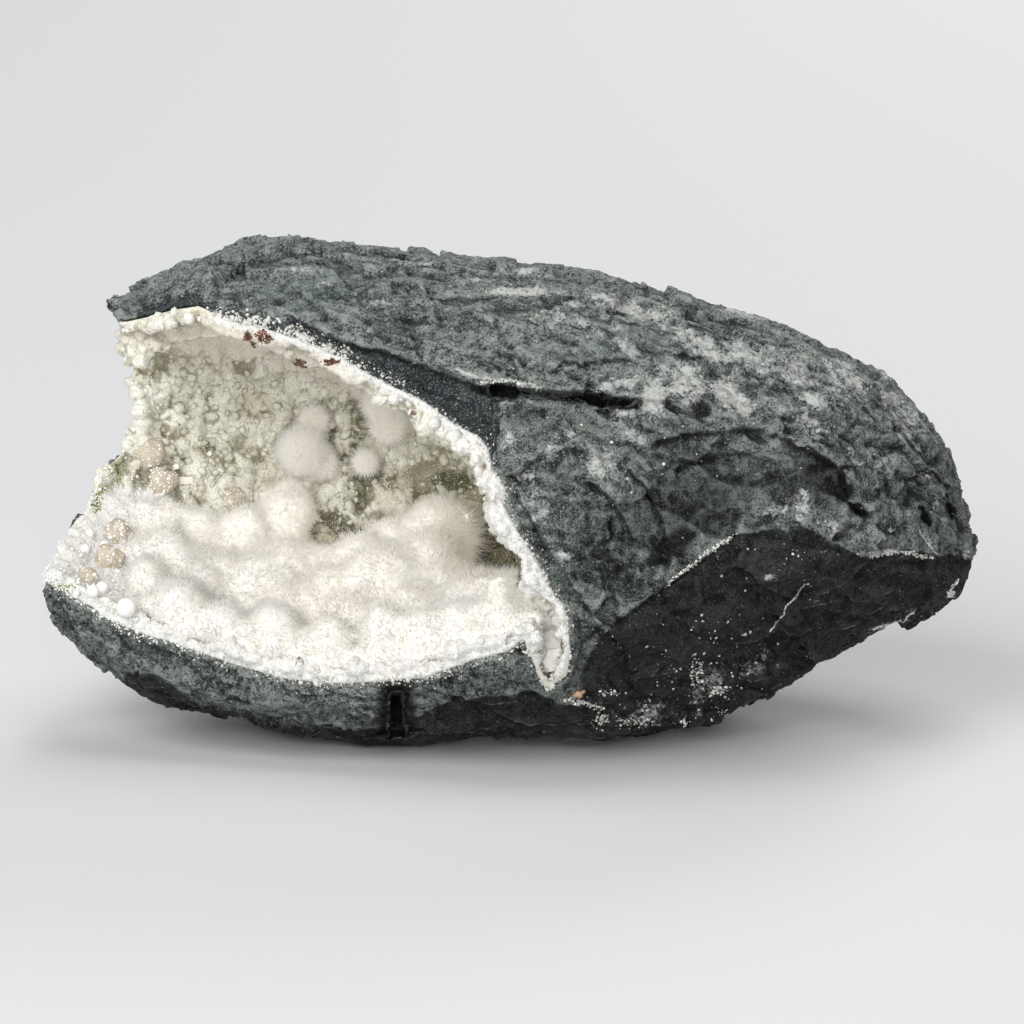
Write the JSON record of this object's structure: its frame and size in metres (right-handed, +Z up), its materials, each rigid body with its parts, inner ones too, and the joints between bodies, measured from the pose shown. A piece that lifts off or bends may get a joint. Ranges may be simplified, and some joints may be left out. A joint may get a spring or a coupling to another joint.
{
  "type": "okenite puffball specimen",
  "caption": "Broken basalt nodule with an open vug, lined with pale druse and filled with white okenite puffballs; display mineral that rests on its flat underside.",
  "frame": {"origin": "middle of the specimen's footprint, on the surface it rests on", "axes": "+X along the nodule to its closed end, +Z up, -Y out of the open vug"},
  "size_m": [0.1868, 0.091, 0.0996],
  "materials": {
    "basalt": "matt, rough, grey-green fracture with white zeolite bloom",
    "druse": "satin, botryoidal, cream to pale green with olive crevices",
    "okenite": "soft white fibres, matt",
    "gyrolite": "smooth, waxy, pale tan with white specks",
    "apophyllite": "pearly white cleavage blocks"
  },
  "bodies": {
    "root": {"basalt_nodule": "basalt", "druse_lining": "druse", "okenite_floor_mass": "okenite", "okenite_wall_cluster": "okenite", "okenite_roof_puff": "okenite", "okenite_lone_puff": "okenite", "okenite_bud_1": "okenite", "okenite_bud_2": "okenite", "okenite_bud_3": "okenite", "okenite_bud_4": "okenite", "okenite_bud_5": "okenite", "okenite_bud_6": "okenite", "gyrolite_cap_1": "gyrolite", "gyrolite_cap_2": "gyrolite", "gyrolite_cap_3": "gyrolite", "gyrolite_cap_4": "gyrolite", "gyrolite_cap_5": "gyrolite", "gyrolite_cap_6": "gyrolite", "apophyllite_block_1": "apophyllite", "apophyllite_block_2": "apophyllite", "apophyllite_block_3": "apophyllite", "apophyllite_block_4": "apophyllite", "pocket_crystals": "apophyllite"}
  },
  "joints": []
}
